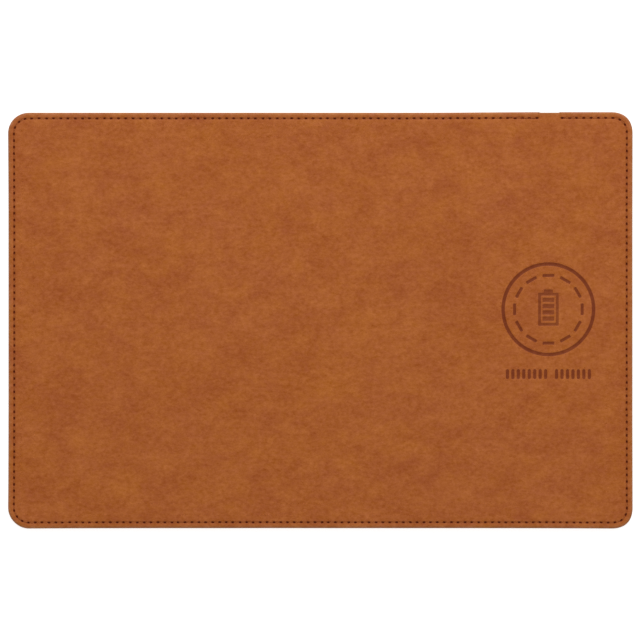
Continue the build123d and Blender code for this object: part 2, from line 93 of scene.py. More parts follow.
studio = {
    "skyLight": 0.72,
    "floorWhite": 0.45,
    "floorGlow": 0.75,          # lifts the floor to plain white, so the pad's shadow stays faint
    "floorRoughness": 0.85,
    "floorSpecular": 0.2,
    "floorSize": 6000,
    "floorDrop": 0.05,          # the floor lies this far under the pad
    "keyPower": 16.15,
    "keySize": 900,
    "keyPlace": (130, 1050, 900),
    "fillPower": 1.2,
    "fillSize": 1800,
    "fillPlace": (900, -700, 1300),
    "exposure": 0.0,
}


def addLamp(name, power, size, place):
    data = bpy.data.lights.new(name, "AREA")
    data.energy = power
    data.size = size * mm
    lamp = bpy.data.objects.new(name, data)
    lamp.location = Vector(place) * mm
    lamp.rotation_euler = (-lamp.location).to_track_quat("-Z", "Y").to_euler()
    scene.collection.objects.link(lamp)


def placeStudio():
    sky = bpy.data.worlds.new("softWhiteRoom")
    sky.use_nodes = True
    sky.node_tree.nodes["Background"].inputs["Color"].default_value = (1, 1, 1, 1)
    sky.node_tree.nodes["Background"].inputs["Strength"].default_value = studio["skyLight"]
    scene.world = sky
    addLamp("keyPanel", studio["keyPower"], studio["keySize"], studio["keyPlace"])
    addLamp("fillPanel", studio["fillPower"], studio["fillSize"], studio["fillPlace"])
    half = studio["floorSize"] * mm / 2
    corners = [(-half, -half, 0), (half, -half, 0), (half, half, 0), (-half, half, 0)]
    mesh = bpy.data.meshes.new("studioFloor")
    mesh.from_pydata(corners, [], [(0, 1, 2, 3)])
    floor = bpy.data.objects.new("studioFloor", mesh)
    floor.location.z = -studio["floorDrop"] * mm
    scene.collection.objects.link(floor)
    paint = bpy.data.materials.new("matteWhiteTable")
    paint.use_nodes = True
    shader = paint.node_tree.nodes["Principled BSDF"]
    shader.inputs["Base Color"].default_value = (*[studio["floorWhite"]] * 3, 1)
    shader.inputs["Roughness"].default_value = studio["floorRoughness"]
    shader.inputs["Specular IOR Level"].default_value = studio["floorSpecular"]
    shader.inputs["Emission Color"].default_value = (1, 1, 1, 1)
    shader.inputs["Emission Strength"].default_value = studio["floorGlow"]
    mesh.materials.append(paint)
    scene.view_settings.view_transform = "Standard"
    scene.view_settings.exposure = studio["exposure"]


placeCamera()
placeStudio()
print("camera, floor and light are in place")


# ---- the line of the seam, shared by the leather, its needle holes and both threads

seam = {
    "seed": 41,
    "threadHalf": 0.35,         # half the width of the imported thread
    "pitchTop": 3.47,           # hole to hole along the port edge
    "pitchBottom": 3.28,
    "pitchSide": 3.18,
    "jitter": 0.105,            # spread of a hole's place along the line
    "sway": 0.035,              # and across it
    "firstHole": 0.6,           # from the end of the unstitched stretch at the port
    "tackLeft": 15.5,           # sewn twice over this far from the port
    "tackRight": 9.0,
    "tackMargin": 0.5,
    "tackJitter": 0.12,
    "tackOffset": 0.22,
    "tackHole": 0.8,            # size of the second row's holes against the first's
    "holeReach": 1.6,           # no hole is felt further from the line than this
    "holeRim": (-0.15, 0.75),   # from the leather's face to the bottom of a hole
    "fadeOut": (-1.0, 0.6),     # the pull of the seam ends over this stretch beside the port
    "gapHalf": 5.5,
    "gapDrop": 0.3,             # the leather stops short of the outline above the port
    "gapFlat": 4.1,
}
outline = {
    "ripple": 0.03,
    "rippleScale": 0.03,
    "ripplePlace": 3.7,
    "leftBow": 0.36,            # how far the middle of each edge is drawn in by its turned leather
    "rightBow": 0.12,
    "bottomBow": 0.24,
    "topBow": 0.28,
    "topFull": (50, 104),       # the port edge comes back out to its full width between these
    "cornerPull": {(-1, 1): 0.0, (1, 1): -0.37, (-1, -1): 0.14, (1, -1): -0.50},
}
edgeRadius = 10.2               # outer corners, as packed
seamInset = padHigh[0] - threadHigh[0] + seam["threadHalf"]


# the straight part of the outline, where its corner arcs have their centres
right, top = padHigh[0] - edgeRadius, padHigh[1] - edgeRadius
left, bottom = padLow[0] + edgeRadius, padLow[1] + edgeRadius


def smoothStep(low, high, value):
    share = np.clip((value - low) / (high - low), 0.0, 1.0)
    return share * share * (3 - 2 * share)


def drawnIn(foot, outward):
    # how far the sewn edge lies inside the straight outline at this place
    x, y = foot[0] + outward[0] * edgeRadius, foot[1] + outward[1] * edgeRadius
    endways, sideways = 1 - (x / padHigh[0]) ** 4, 1 - (y / padHigh[1]) ** 4
    scale = outline["rippleScale"]
    pull = outline["ripple"] * (1 + noise.noise(Vector((x * scale, y * scale, outline["ripplePlace"]))))
    pull += outline["leftBow"] * sideways * max(0.0, -outward[0]) ** 2
    pull += outline["rightBow"] * sideways * max(0.0, outward[0]) ** 2
    pull += outline["bottomBow"] * endways * max(0.0, -outward[1]) ** 2
    bowed = 1 - float(smoothStep(*outline["topFull"], x))
    pull += outline["topBow"] * bowed * max(0.0, outward[1]) ** 2
    corner = (1 if x > 0 else -1, 1 if y > 0 else -1)
    return pull + outline["cornerPull"][corner] * (2 * outward[0] * outward[1]) ** 2


def edgePoint(foot, outward, inset, pulled):
    reach = edgeRadius - inset
    reach -= pulled * float(smoothStep(0.0, edgeRadius, reach))
    return foot[0] + outward[0] * reach, foot[1] + outward[1] * reach


def seamLine(step=0.25):
    # clockwise from the middle of the port gap, in rows of
    # foot x, foot y, outward x, outward y, distance sewn
    bend = edgeRadius - seamInset
    stretches = [
        ((portX, top), (right, top), 90), ((right, top), None, 90),
        ((right, top), (right, bottom), 0), ((right, bottom), None, 0),
        ((right, bottom), (left, bottom), -90), ((left, bottom), None, -90),
        ((left, bottom), (left, top), 180), ((left, top), None, 180),
        ((left, top), (portX, top), 90),
    ]
    rows = []
    sewn = 0.0
    for start, end, heading in stretches:
        length = bend * math.pi / 2 if end is None else math.dist(start, end)
        count = max(2, round(length / step))
        for i in range(count):
            share = i / count
            angle = math.radians(heading - (90 * share if end is None else 0))
            target = start if end is None else end
            footX = start[0] + (target[0] - start[0]) * share
            footY = start[1] + (target[1] - start[1]) * share
            rows.append((footX, footY, math.cos(angle), math.sin(angle), sewn + length * share))
        sewn += length
    rows.append((portX, top, 0.0, 1.0, sewn))
    return np.array(rows)


line = seamLine()
seamLength = line[-1, 4]


def onSeam(distance, inset=seamInset):
    values = [float(np.interp(distance, line[:, 4], line[:, k])) for k in range(4)]
    foot = values[:2]
    outward = Vector(values[2:]).normalized()
    x, y = edgePoint(foot, outward, inset, drawnIn(foot, outward))
    return x, y, (outward.y, -outward.x), (outward.x, outward.y)


def sewHoles():
    dice = random.Random(seam["seed"])
    start = seam["gapHalf"] + seam["firstHole"]
    stops = [start]
    while stops[-1] < seamLength - start:
        _, _, _, outward = onSeam(stops[-1])
        lengthways = seam["pitchTop"] if outward[1] > 0 else seam["pitchBottom"]
        pitch = lengthways * outward[1] ** 2 + seam["pitchSide"] * outward[0] ** 2
        stops.append(stops[-1] + pitch)
    stretch = (seamLength - 2 * start) / (stops[-1] - start)
    stops = [start + (s - start) * stretch for s in stops]
    run = [(s + dice.gauss(0, seam["jitter"]), dice.gauss(0, seam["sway"])) for s in stops]
    run[0], run[-1] = (stops[0], 0.0), (stops[-1], 0.0)
    tacks = []
    for near, far in ((start, start + seam["tackRight"]),
                      (seamLength - start - seam["tackLeft"], seamLength - start)):
        inside = [s for s, _ in run if near - seam["tackMargin"] <= s <= far + seam["tackMargin"]]
        middles = [(a + b) / 2 + dice.gauss(0, seam["tackJitter"]) for a, b in zip(inside[:-1], inside[1:])]
        ends = [inside[0]] if near == start else [inside[-1]]
        stitches = sorted(ends + middles)
        tacks.append([(s, seam["tackOffset"] * dice.uniform(-1.0, 1.0)) for s in stitches])
    return run, tacks


seamRun, seamTacks = sewHoles()
stitchRuns = [(seamRun, False)] + [(tack, True) for tack in seamTacks]
holes = []
for run, isTack in stitchRuns:
    for distance, offset in run:
        x, y, along, outward = onSeam(distance, seamInset + offset)
        holes.append((x, y, along[0], along[1], seam["tackHole"] if isTack else 1.0))
holes = np.array(holes)
print("seam line", round(seamLength, 1), "mm with", len(holes), "needle holes")


# ---- helpers for meshes

def makeObject(name, points, faces, sharpAngle=40):
    mesh = bpy.data.meshes.new(name)
    mesh.from_pydata([tuple(p) for p in np.asarray(points, float) * mm], [], faces)
    mesh.update()
    tidy = bmesh.new()
    tidy.from_mesh(mesh)
    bmesh.ops.recalc_face_normals(tidy, faces=tidy.faces)
    tidy.to_mesh(mesh)
    tidy.free()
    mesh.shade_smooth()
    mesh.set_sharp_from_angle(angle=math.radians(sharpAngle))
    piece = bpy.data.objects.new(name, mesh)
    scene.collection.objects.link(piece)
    return piece


def addAttribute(piece, name, values):
    layer = piece.data.attributes.new(name, "FLOAT", "POINT")
    layer.data.foreach_set("value", np.asarray(values, np.float32))


def gridLines(low, high, fineLow, fineHigh, coarse, fine, keep=()):
    lines = []
    for start, stop, step in ((low, fineLow, coarse), (fineLow, fineHigh, fine), (fineHigh, high, coarse)):
        count = max(1, round((stop - start) / step))
        lines += [start + (stop - start) * i / count for i in range(count)]
    lines.append(high)
    for value in keep:
        nearest = min(range(len(lines)), key=lambda i: abs(lines[i] - value))
        lines[nearest] = value
    return lines


def rimColumns(xs, ys, cornerParts):
    # foot, angle of the outward direction and place on the panel's outline,
    # counter-clockwise from the lower left corner
    sides = [
        ([(x, ys[0]) for x in xs], -90),
        ([(xs[-1], y) for y in ys], 0),
        ([(x, ys[-1]) for x in reversed(xs)], 90),
        ([(xs[0], y) for y in reversed(ys)], 180),
    ]
    columns = []
    place = 0
    for spots, heading in sides:
        for spot in spots[:-1]:
            columns.append((spot, math.radians(heading), place))
            place += 1
        for i in range(cornerParts):
            columns.append((spots[-1], math.radians(heading + 90 * i / cornerParts), place))
    return columns, place


class SheetBuilder:
    # A sewn sheet: a rectangular panel, rows hung round it, and a cap that closes its hidden side.
    # Rows near the seam have many columns, and the others have one for each line of the panel.

    def __init__(self, xs, ys, fineStep, cornerParts, cornerFine):
        self.xs, self.ys = xs, ys
        self.main, self.outline = rimColumns(xs, ys, cornerParts)
        self.points, self.faces, self.insets = [], [], []
        self.fine, self.fineStart = [], []
        count = len(self.main)
        for i, (foot, angle, place) in enumerate(self.main):
            nextFoot, nextAngle, _ = self.main[(i + 1) % count]
            turn = (nextAngle - angle + math.pi) % (2 * math.pi) - math.pi
            parts = cornerFine
            if abs(turn) < 1e-6:
                parts = max(1, round(math.dist(foot, nextFoot) / fineStep))
            self.fineStart.append(len(self.fine))
            for j in range(parts):
                share = j / parts
                x = foot[0] + (nextFoot[0] - foot[0]) * share
                y = foot[1] + (nextFoot[1] - foot[1]) * share
                self.fine.append(((x, y), angle + turn * share))
        self.fineStart.append(len(self.fine))

    def addPanel(self, levels):
        across, along = len(self.xs), len(self.ys)
        for j, y in enumerate(self.ys):
            self.points += [(x, y, levels[j][i]) for i, x in enumerate(self.xs)]
            fromEnd = min(y - self.ys[0], self.ys[-1] - y)
            self.insets += [edgeRadius + min(x - self.xs[0], self.xs[-1] - x, fromEnd) for x in self.xs]
        for j in range(along - 1):
            for i in range(across - 1):
                a = j * across + i
                self.faces.append((a, a + 1, a + 1 + across, a + across))
        border = list(range(across - 1))
        border += [j * across + across - 1 for j in range(along - 1)]
        border += [(along - 1) * across + i for i in range(across - 1, 0, -1)]
        border += [j * across for j in range(along - 1, 0, -1)]
        self.border = border

    def addPoint(self, foot, angle, inset, level):
        outward = (math.cos(angle), math.sin(angle))
        x, y = edgePoint(foot, outward, inset, drawnIn(foot, outward))
        self.points.append((x, y, level))
        self.insets.append(inset)
        return len(self.points) - 1

    def mainRow(self, inset, level, skip=()):
        return [None if i in skip else self.addPoint(foot, angle, inset, level)
                for i, (foot, angle, _) in enumerate(self.main)]

    def fineRow(self, inset, level, only=None):
        return [self.addPoint(foot, angle, inset, level) if only is None or c in only else None
                for c, (foot, angle) in enumerate(self.fine)]

    def fineOf(self, i):
        return [c % len(self.fine) for c in range(self.fineStart[i], self.fineStart[i + 1] + 1)]

    def joinBorder(self, row):
        count = len(self.main)
        for i, (_, _, place) in enumerate(self.main):
            nextPlace = self.main[(i + 1) % count][2]
            a, b = self.border[place % self.outline], self.border[nextPlace % self.outline]
            face = [a, row[i], row[(i + 1) % count]]
            self.faces.append(tuple(face if a == b else face + [b]))

    def joinRows(self, upper, lower):
        count = len(upper)
        for c in range(count):
            face = (upper[c], lower[c], lower[(c + 1) % count], upper[(c + 1) % count])
            if None not in face:
                self.faces.append(face)

    def joinStack(self, rows):
        for upper, lower in zip(rows[:-1], rows[1:]):
            self.joinRows(upper, lower)

    def joinMainToFine(self, mainRow, fineRow, turned=False):
        count = len(self.main)
        for i in range(count):
            face = [mainRow[i], *[fineRow[c] for c in self.fineOf(i)], mainRow[(i + 1) % count]]
            if None not in face:
                self.faces.append(tuple(face[::-1] if turned else face))

    def closeWith(self, row):
        self.faces.append(tuple(row))


def arcProfile(radius, start, angles, endInset=0.0, upward=-1):
    # (inset, level) pairs round a rolled edge, from the face towards the side
    turns = [math.radians(a) for a in angles]
    return [(endInset + radius * (1 - math.sin(turn)), start + upward * radius * (1 - math.cos(turn)))
            for turn in turns]


def stitchedShare(x, y):
    # 1 where the seam is sewn, 0 in the gap at the port
    near, far = [seam["gapHalf"] + past for past in seam["fadeOut"]]
    return smoothStep(near, far, np.where(y > 0, np.abs(x - portX), 2 * far))


# ---- the pressed sign over the coil, as distances in millimetres, positive inside a pressed line

sign = {
    "depth": 0.2,
    "shift": (-0.6, -0.3),      # from the coil's centre
    "ringRadius": 22.4,
    "ringLine": 1.4,
    "dashRadius": 16.2,
    "dashCount": 12,
    "dashLength": 5.4,
    "dashWidth": 1.2,
    "cellWidth": 9.6,
    "cellHeight": 15.6,
    "cellLine": 1.1,
    "tipWidth": 4.0,
    "tipHeight": 1.6,
    "barCount": 4,
    "barWidth": 5.4,
    "barHeight": 1.8,
    "barPitch": 3.0,
    "tickDrop": 31.1,
    "tickPitch": 2.62,
    "tickWidth": 1.3,
    "tickHeight": 4.6,
    "tickSlots": 16,
    "tickBlank": 8,
    "shoulder": 0.28,
    "farthest": 1.5,            # distances are only kept up to this
    "ringTone": 1.02,           # how dark each line is burnished
    "dashTone": 0.98,
    "cellTone": 0.78,
    "tickTone": 1.02,
}


def insideBar(x, y, width, height):
    dx, dy = np.abs(x) - width / 2, np.abs(y) - height / 2
    return -(np.hypot(np.maximum(dx, 0), np.maximum(dy, 0)) + np.minimum(np.maximum(dx, dy), 0))


def pressedSign(x, y):
    x, y = x - coilX - sign["shift"][0], y - coilY - sign["shift"][1]
    ringMiddle = sign["ringRadius"] - sign["ringLine"] / 2
    depth = sign["ringLine"] / 2 - np.abs(np.hypot(x, y) - ringMiddle)
    tone = np.full(depth.shape, sign["ringTone"])

    def add(more, moreTone):
        nonlocal depth, tone
        tone = np.where(more > depth, moreTone, tone)
        depth = np.maximum(depth, more)

    for k in range(sign["dashCount"]):
        turn = 2 * math.pi * k / sign["dashCount"]
        along = x * math.cos(turn) + y * math.sin(turn) - sign["dashRadius"]
        across = y * math.cos(turn) - x * math.sin(turn)
        add(insideBar(along, across, sign["dashWidth"], sign["dashLength"]), sign["dashTone"])
    outer = insideBar(x, y, sign["cellWidth"], sign["cellHeight"])
    add(np.minimum(outer, sign["cellLine"] - outer), sign["cellTone"])
    tipMiddle = (sign["cellHeight"] + sign["tipHeight"]) / 2
    add(insideBar(x, y - tipMiddle, sign["tipWidth"], sign["tipHeight"]), sign["cellTone"])
    for k in range(sign["barCount"]):
        level = (k - (sign["barCount"] - 1) / 2) * sign["barPitch"]
        add(insideBar(x, y - level, sign["barWidth"], sign["barHeight"]), sign["cellTone"])
    for k in range(sign["tickSlots"]):
        if k == sign["tickBlank"]:
            continue
        place = (k - (sign["tickSlots"] - 1) / 2) * sign["tickPitch"]
        half = (sign["tickHeight"] - sign["tickWidth"]) / 2
        past = np.maximum(np.abs(y + sign["tickDrop"]) - half, 0)
        add(sign["tickWidth"] / 2 - np.hypot(x - place, past), sign["tickTone"])
    return np.clip(depth, -sign["farthest"], sign["farthest"]), tone


# ---- top leather, with its needle holes and its turned-under hem

topLeather = {
    "thickness": 1.0,
    "hemWidth": 7.0,
    "hemThickness": 0.8,
    "roll": 1.3,
    "lowerRoll": 0.4,
    "troughDepth": 0.27,
    "troughHalf": 0.62,
    "shoulderDepth": 0.10,      # wide soft dip that the seam pulls into the padding
    "shoulderHalf": 2.3,
    "holeHalfLength": 0.88,
    "holeHalfWidth": 0.50,
    "holeDepth": 0.36,
    "swell": 0.05,              # slow rise and fall of the padded face
    "swellScale": 0.021,
    "swellPlace": 1.3,
    "swellStart": (5.0, 12.0),
    "coarse": 2.4,
    "fine": 0.5,
    "signHalfWidth": 25.0,
    "signLow": 35.0,
    "signHigh": 24.5,
    "columnStep": 0.4,
    "cornerColumns": (9, 6),
    "outerRows": (8.6, 7.0, 5.4),
    "seamRows": (4.6, 4.0, 3.6, 3.35, 3.12, 2.9, 2.68, 2.45, 2.2, 1.9),
    "rollAngles": (0, 18, 35, 50, 64, 78, 90),
    "sideLevel": 2.7,
    "sideFoot": 0.06,           # the side ends this far above the lower roll
    "rollCut": 0.12,
    "hemMiddle": (3.4, 4.0),
    "hemBevel": (0.15, 0.25),
    # inset and depth of the cut edge above the port, the last five measured from the gap's drop
    "cutFace": ((1.45, 0.0), (1.0, 0.01)),
    "cutEdge": ((0.22, 0.05), (0.06, 0.17), (0.0, 0.35), (0.0, 0.88), (0.08, 1.0)),
    "rawFrom": 3,               # cut rows from this one on show raw leather
}


def holeDistance(x, y):
    # 1 in the middle of a needle hole, 0 at its rim
    best = np.full(len(x), -1.0)
    for start in range(0, len(x), 4000):
        part = slice(start, start + 4000)
        dx = x[part, None] - holes[None, :, 0]
        dy = y[part, None] - holes[None, :, 1]
        along = (dx * holes[None, :, 2] + dy * holes[None, :, 3]) / topLeather["holeHalfLength"]
        across = (dy * holes[None, :, 2] - dx * holes[None, :, 3]) / topLeather["holeHalfWidth"]
        reach = np.hypot(along, across) / holes[None, :, 4]
        best[part] = np.maximum(best[part], (1 - reach).max(axis=1))
    return best


def makeTopLeather():
    t = topLeather
    gapLeft, gapRight = portX - seam["gapHalf"], portX + seam["gapHalf"]
    xs = gridLines(left, right, coilX - t["signHalfWidth"], coilX + t["signHalfWidth"],
                   t["coarse"], t["fine"], keep=(gapLeft, gapRight))
    ys = gridLines(bottom, top, coilY - t["signLow"], coilY + t["signHigh"], t["coarse"], t["fine"])
    sheet = SheetBuilder(xs, ys, t["columnStep"], *t["cornerColumns"])
    sheet.addPanel(np.full((len(ys), len(xs)), padTop))
    edgeSpots = [i for i, (foot, angle, _) in enumerate(sheet.main)
                 if abs(math.sin(angle) - 1) < 1e-6 and gapLeft - 1e-6 <= foot[0] <= gapRight + 1e-6]
    gapMain = edgeSpots[1:-1]
    gapColumns = range(sheet.fineStart[edgeSpots[0]], sheet.fineStart[edgeSpots[-1]] + 1)
    gapInner = set(gapColumns[1:-1])

    rows = [sheet.mainRow(inset, padTop) for inset in t["outerRows"]]
    sheet.joinBorder(rows[0])
    sheet.joinStack(rows)
    flat = [sheet.fineRow(inset, padTop) for inset in t["seamRows"]]
    sheet.joinMainToFine(rows[-1], flat[0])
    sheet.joinStack(flat)

    # sewn edge: over the roll, down the side and under
    hemLow, hemHigh = padLow[2], padLow[2] + t["hemThickness"]
    sewn = set(range(len(sheet.fine))) - gapInner
    profile = arcProfile(t["roll"], padTop, t["rollAngles"])
    profile += [(0.0, t["sideLevel"]), (0.0, hemLow + t["lowerRoll"] + t["sideFoot"])]
    side = [sheet.fineRow(inset, level, sewn) for inset, level in profile]
    sheet.joinRows(flat[-1], side[0])
    sheet.joinStack(side)
    under = [
        (0.0, hemLow + t["lowerRoll"]),
        (t["rollCut"], hemLow + t["rollCut"]),
        (t["lowerRoll"], hemLow),
        (t["hemMiddle"][0], hemLow),
        (t["hemWidth"] - t["hemBevel"][0], hemLow),
        (t["hemWidth"], hemLow + t["hemBevel"][1]),
        (t["hemWidth"], hemHigh),
        (t["hemMiddle"][1], hemHigh),
        (t["thickness"], hemHigh),
    ]
    hem = [sheet.mainRow(inset, level, gapMain) for inset, level in under]
    sheet.joinMainToFine(hem[0], side[-1], turned=True)
    sheet.joinStack(hem)
    inner = sheet.mainRow(t["thickness"], padTop - t["thickness"])
    sheet.joinRows(hem[-1], inner)

    # cut edge above the port, and the two ends of the turned hem beside it
    cut = [*t["cutFace"], *[(seam["gapDrop"] + inset, depth) for inset, depth in t["cutEdge"]]]
    cutRows = [sheet.fineRow(inset, padTop - depth, set(gapColumns)) for inset, depth in cut]
    sheet.joinRows([v if c in gapColumns else None for c, v in enumerate(flat[-1])], cutRows[0])
    sheet.joinStack(cutRows)
    innerGap = [v if i in edgeSpots else None for i, v in enumerate(inner)]
    sheet.joinMainToFine(innerGap, cutRows[-1], turned=True)
    for i in (edgeSpots[0], edgeSpots[-1]):
        c = sheet.fineStart[i]
        end = [flat[-1][c], *[row[c] for row in side], *[row[i] for row in hem], inner[i]]
        sheet.faces.append(tuple(end + [row[c] for row in cutRows[::-1]]))
    sheet.closeWith(inner)

    points = np.array(sheet.points)
    x, y = points[:, 0], points[:, 1]
    onFace = points[:, 2] > padTop - 0.06
    mark, tone = pressedSign(x, y)
    mark = np.where(onFace, mark, -sign["farthest"])
    inset = np.array(sheet.insets)
    stitched = stitchedShare(x, y)
    trough = smoothStep(1, 0, np.abs(inset - seamInset) / t["troughHalf"])
    shoulder = smoothStep(1, 0, np.abs(inset - seamInset) / t["shoulderHalf"])
    hole = np.full(len(points), -1.0)
    near = onFace & (np.abs(inset - seamInset) < seam["holeReach"])
    hole[near] = holeDistance(x[near], y[near])
    places = [Vector((*spot, t["swellPlace"])) for spot in points[:, :2] * t["swellScale"]]
    swell = np.array([noise.noise(place) for place in places]) * 0.5 + 0.5
    level = -stitched * (t["troughDepth"] * trough + t["shoulderDepth"] * shoulder)
    level -= t["holeDepth"] * smoothStep(*seam["holeRim"], hole)
    level -= t["swell"] * swell * smoothStep(*t["swellStart"], inset)
    level -= sign["depth"] * smoothStep(-sign["shoulder"] / 2, sign["shoulder"] / 2, mark)
    points[:, 2] += np.where(onFace, level, 0)
    raw = np.zeros(len(points))
    for number, row in enumerate(cutRows):
        made = [v for v in row if v is not None]
        if number >= t["rawFrom"]:
            raw[made] = 1.0
        back = smoothStep(seam["gapFlat"], seam["gapHalf"], np.abs(x[made] - portX))
        points[made, 1] += seam["gapDrop"] * back
    piece = makeObject("leatherTop", points, sheet.faces)
    addAttribute(piece, "pressed", mark)
    addAttribute(piece, "burnish", tone)
    addAttribute(piece, "needleHole", hole)
    addAttribute(piece, "fromEdge", np.where(points[:, 2] > hemLow + 1.0, inset, 0))
    addAttribute(piece, "stitched", stitched)
    addAttribute(piece, "cutEdge", raw)
    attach(piece, "root")
    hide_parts("top_cover")
    return piece


leatherTop = makeTopLeather()
print("top leather", len(leatherTop.data.vertices), "points", len(leatherTop.data.polygons), "faces")


# ---- base leather, glued under the board and the hem

baseLeather = {
    "troughDepth": 0.22,
    "troughHalf": 0.6,
    "troughShift": 0.06,
    "holeRise": 0.28,
    "coarse": 6.0,
    "columnStep": 0.55,
    "cornerColumns": (9, 5),
    "outerRows": (8.0, 5.0),
    "seamRows": (3.9, 3.45, 3.15, 2.9, 2.65, 2.35, 2.0),
    "rollAngles": (0, 45, 90),
    "edgeRoll": 0.28,
    "sideFoot": 0.15,
    "backInset": 0.1,
    "panelSplit": 20,
}


def makeBaseLeather():
    b = baseLeather
    split = b["panelSplit"]
    xs = gridLines(left, right, -split, split, b["coarse"], b["coarse"])
    ys = gridLines(bottom, top, -split, split, b["coarse"], b["coarse"])
    sheet = SheetBuilder(xs, ys, b["columnStep"], *b["cornerColumns"])
    sheet.addPanel(np.zeros((len(ys), len(xs))))
    rows = [sheet.mainRow(inset, 0.0) for inset in b["outerRows"]]
    sheet.joinBorder(rows[0])
    sheet.joinStack(rows)
    edge = padHigh[0] - baseHigh[0]
    profile = [(inset, 0.0) for inset in b["seamRows"]]
    profile += arcProfile(b["edgeRoll"], 0.0, b["rollAngles"], edge, 1)
    profile.append((edge, baseHigh[2] - b["sideFoot"]))
    fine = [sheet.fineRow(inset, level) for inset, level in profile]
    sheet.joinMainToFine(rows[-1], fine[0])
    sheet.joinStack(fine)
    last = sheet.mainRow(edge + b["backInset"], baseHigh[2])
    sheet.joinMainToFine(last, fine[-1], turned=True)
    sheet.closeWith(last)
    points = np.array(sheet.points)
    x, y = points[:, 0], points[:, 1]
    underside = points[:, 2] < 0.01
    inset = np.array(sheet.insets)
    hole = np.full(len(points), -1.0)
    near = underside & (np.abs(inset - seamInset) < seam["holeReach"])
    hole[near] = holeDistance(x[near], y[near])
    trough = smoothStep(1, 0, np.abs(inset - seamInset - b["troughShift"]) / b["troughHalf"])
    rise = stitchedShare(x, y) * b["troughDepth"] * trough
    rise += b["holeRise"] * smoothStep(*seam["holeRim"], hole)
    points[:, 2] += np.where(underside, rise, 0)
    piece = makeObject("leatherBase", points, sheet.faces)
    addAttribute(piece, "needleHole", hole)
    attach(piece, "root")
    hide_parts("bottom_cover")
    return piece


leatherBase = makeBaseLeather()
print("base leather", len(leatherBase.data.vertices), "points", len(leatherBase.data.polygons), "faces")


# ---- stitches: each one a short plied thread that dives into a hole at both ends

stitch = {
    "halfWidth": 0.34,
    "halfHeight": 0.21,
    "lobe": 0.13,               # how deep the grooves between the three plies are
    "plyTurn": 1.9,             # one full turn of the twist
    "needleLevels": (0.27, 0.62),       # middle and ends of a stitch, below the pad's face
    "needleCounts": (14, 12),           # rows along a stitch and points around it
    "needleSeed": 77,
    "bobbinLevels": (0.23, 0.5),        # above the underside
    "bobbinCounts": (10, 10),
    "bobbinSeed": 78,
    "fatness": (0.94, 1.05),
    "lift": 0.02,
    "tackLift": 0.03,
    "bend": 0.05,
    "endShrink": 0.72,
    "diveShare": 0.32,
    "endCrowding": 0.10,        # rows of a stitch stand closer together near its holes
    "slant": 0.10,              # a stitch lies a little askew to the seam
}


def makeStitches(name, replaced, seed, level, dive, counts):
    s = stitch
    along, around = counts
    dice = random.Random(seed)
    points, faces = [], []
    sunk, tacked, alongThread, aroundThread, groove = [], [], [], [], []
    for run, isTack in stitchRuns:
        spots = [onSeam(distance, seamInset + offset) for distance, offset in run]
        for here, there in zip(spots[:-1], spots[1:]):
            length = math.dist(here[:2], there[:2])
            direction = ((there[0] - here[0]) / length, (there[1] - here[1]) / length)
            normal = (-direction[1], direction[0])
            phase = dice.uniform(0, 2 * math.pi)
            fat = dice.uniform(*s["fatness"])
            lift = dice.uniform(-s["lift"], s["lift"]) + (s["tackLift"] if isTack else 0.0)
            bend = dice.uniform(-s["bend"], s["bend"])
            first = len(points)
            for i in range(along + 1):
                u = i / along
                u -= s["endCrowding"] * math.sin(2 * math.pi * u) / (2 * math.pi)
                middle = math.sin(math.pi * u)
                rise = float(smoothStep(0.0, s["diveShare"], min(u, 1 - u)))
                height = dive + (level + lift - dive) * rise
                shrink = s["endShrink"] + (1 - s["endShrink"]) * rise
                offset = s["slant"] * (u - 0.5) * 2 * rise + bend * middle
                cx = here[0] + direction[0] * length * u + normal[0] * offset
                cy = here[1] + direction[1] * length * u + normal[1] * offset
                turn = phase + 2 * math.pi * length * u / s["plyTurn"]
                for k in range(around):
                    angle = 2 * math.pi * k / around
                    ply = abs(math.cos(1.5 * (angle + turn)))
                    lobe = 1 - s["lobe"] + s["lobe"] * ply
                    wide = s["halfWidth"] * fat * shrink * lobe * math.cos(angle)
                    tall = s["halfHeight"] * fat * shrink * lobe * math.sin(angle)
                    points.append((cx + normal[0] * wide, cy + normal[1] * wide, height + tall))
                    sunk.append(1 - rise)
                    tacked.append(1.0 if isTack else 0.0)
                    alongThread.append(length * u)
                    aroundThread.append(angle / (2 * math.pi))
                    groove.append(1 - ply)
            for i in range(along):
                for k in range(around):
                    a = first + i * around + k
                    b = first + i * around + (k + 1) % around
                    faces.append((a, b, b + around, a + around))
            faces.append(tuple(first + k for k in range(around)))
            faces.append(tuple(first + along * around + k for k in range(around - 1, -1, -1)))
    piece = makeObject(name, points, faces, sharpAngle=70)
    for label, values in (("sunk", sunk), ("tacked", tacked), ("alongThread", alongThread),
                          ("aroundThread", aroundThread), ("groove", groove)):
        addAttribute(piece, label, values)
    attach(piece, "root")
    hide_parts(replaced)
    return piece


needleLevels = [padTop - depth for depth in stitch["needleLevels"]]
needleStitches = makeStitches("needleStitches", "needle_thread", stitch["needleSeed"],
                              *needleLevels, stitch["needleCounts"])
bobbinStitches = makeStitches("bobbinStitches", "bobbin_thread", stitch["bobbinSeed"],
                              *stitch["bobbinLevels"], stitch["bobbinCounts"])
print("stitches", len(needleStitches.data.polygons), "and", len(bobbinStitches.data.polygons), "faces")


# ---- shader groups used by several finishes

def colour(red, green, blue):
    # a screen colour, 0 to 255, as a linear one
    parts = [c / 255 for c in (red, green, blue)]
    return (*[c / 12.92 if c <= 0.04045 else ((c + 0.055) / 1.055) ** 2.4 for c in parts], 1.0)


